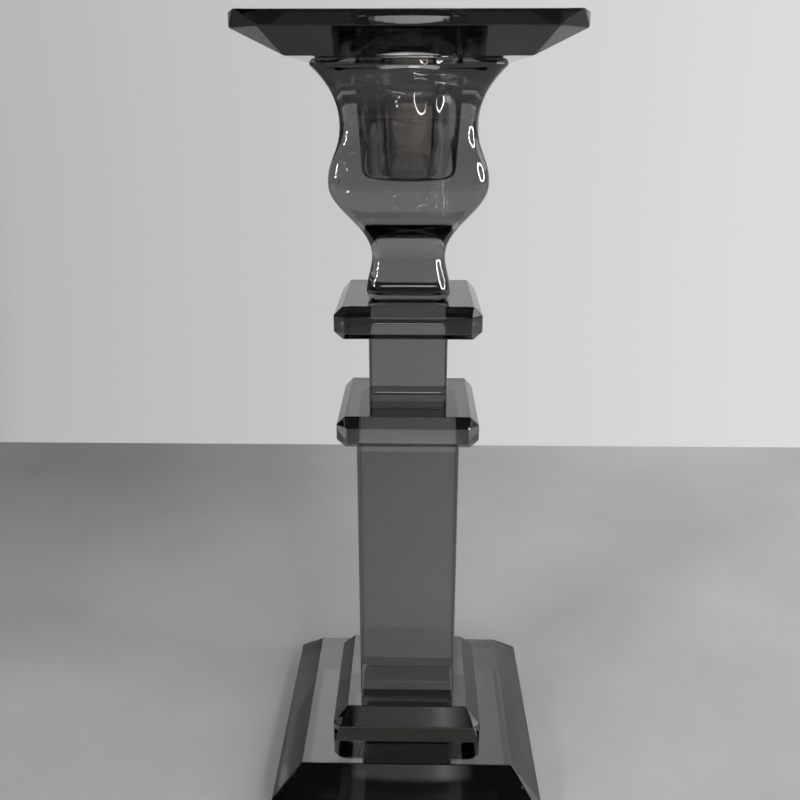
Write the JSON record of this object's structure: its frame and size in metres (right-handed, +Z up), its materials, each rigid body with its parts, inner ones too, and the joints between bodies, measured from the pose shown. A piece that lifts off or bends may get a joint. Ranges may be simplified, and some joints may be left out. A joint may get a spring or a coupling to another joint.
{
  "type": "glass candlestick",
  "caption": "Tall candlestick of stacked square smoke-glass blocks with bevelled base and knops, a moulded baluster cup with a round candle well, and a bevelled square drip plate.",
  "frame": {"origin": "centre of the base slab's underside, on the surface the candlestick stands on", "axes": "+Z up along the stack's axis; +X and +Y square to the sides of the slabs"},
  "size_m": [0.075, 0.075, 0.2077],
  "materials": {
    "smoke_glass": "ground and polished smoke-grey glass with crisp bevels and fine arrises",
    "moulded_smoke_glass": "fire-polished pressed smoke-grey glass with soft edges and a faintly wavy surface",
    "bond_adhesive": "cured clear adhesive film with fine seeds and a slightly uneven edge"
  },
  "bodies": {
    "root": {"base_slab": "smoke_glass", "base_bond": "bond_adhesive", "step_slab": "smoke_glass", "column_foot_bond": "bond_adhesive", "column": "smoke_glass", "column_head_bond": "bond_adhesive", "lower_knop": "smoke_glass", "neck_foot_bond": "bond_adhesive", "neck": "smoke_glass", "neck_head_bond": "bond_adhesive", "upper_knop": "smoke_glass", "cup_foot_bond": "bond_adhesive", "candle_cup": "moulded_smoke_glass", "cup_rim_bond": "bond_adhesive", "drip_plate": "smoke_glass"}
  },
  "joints": []
}
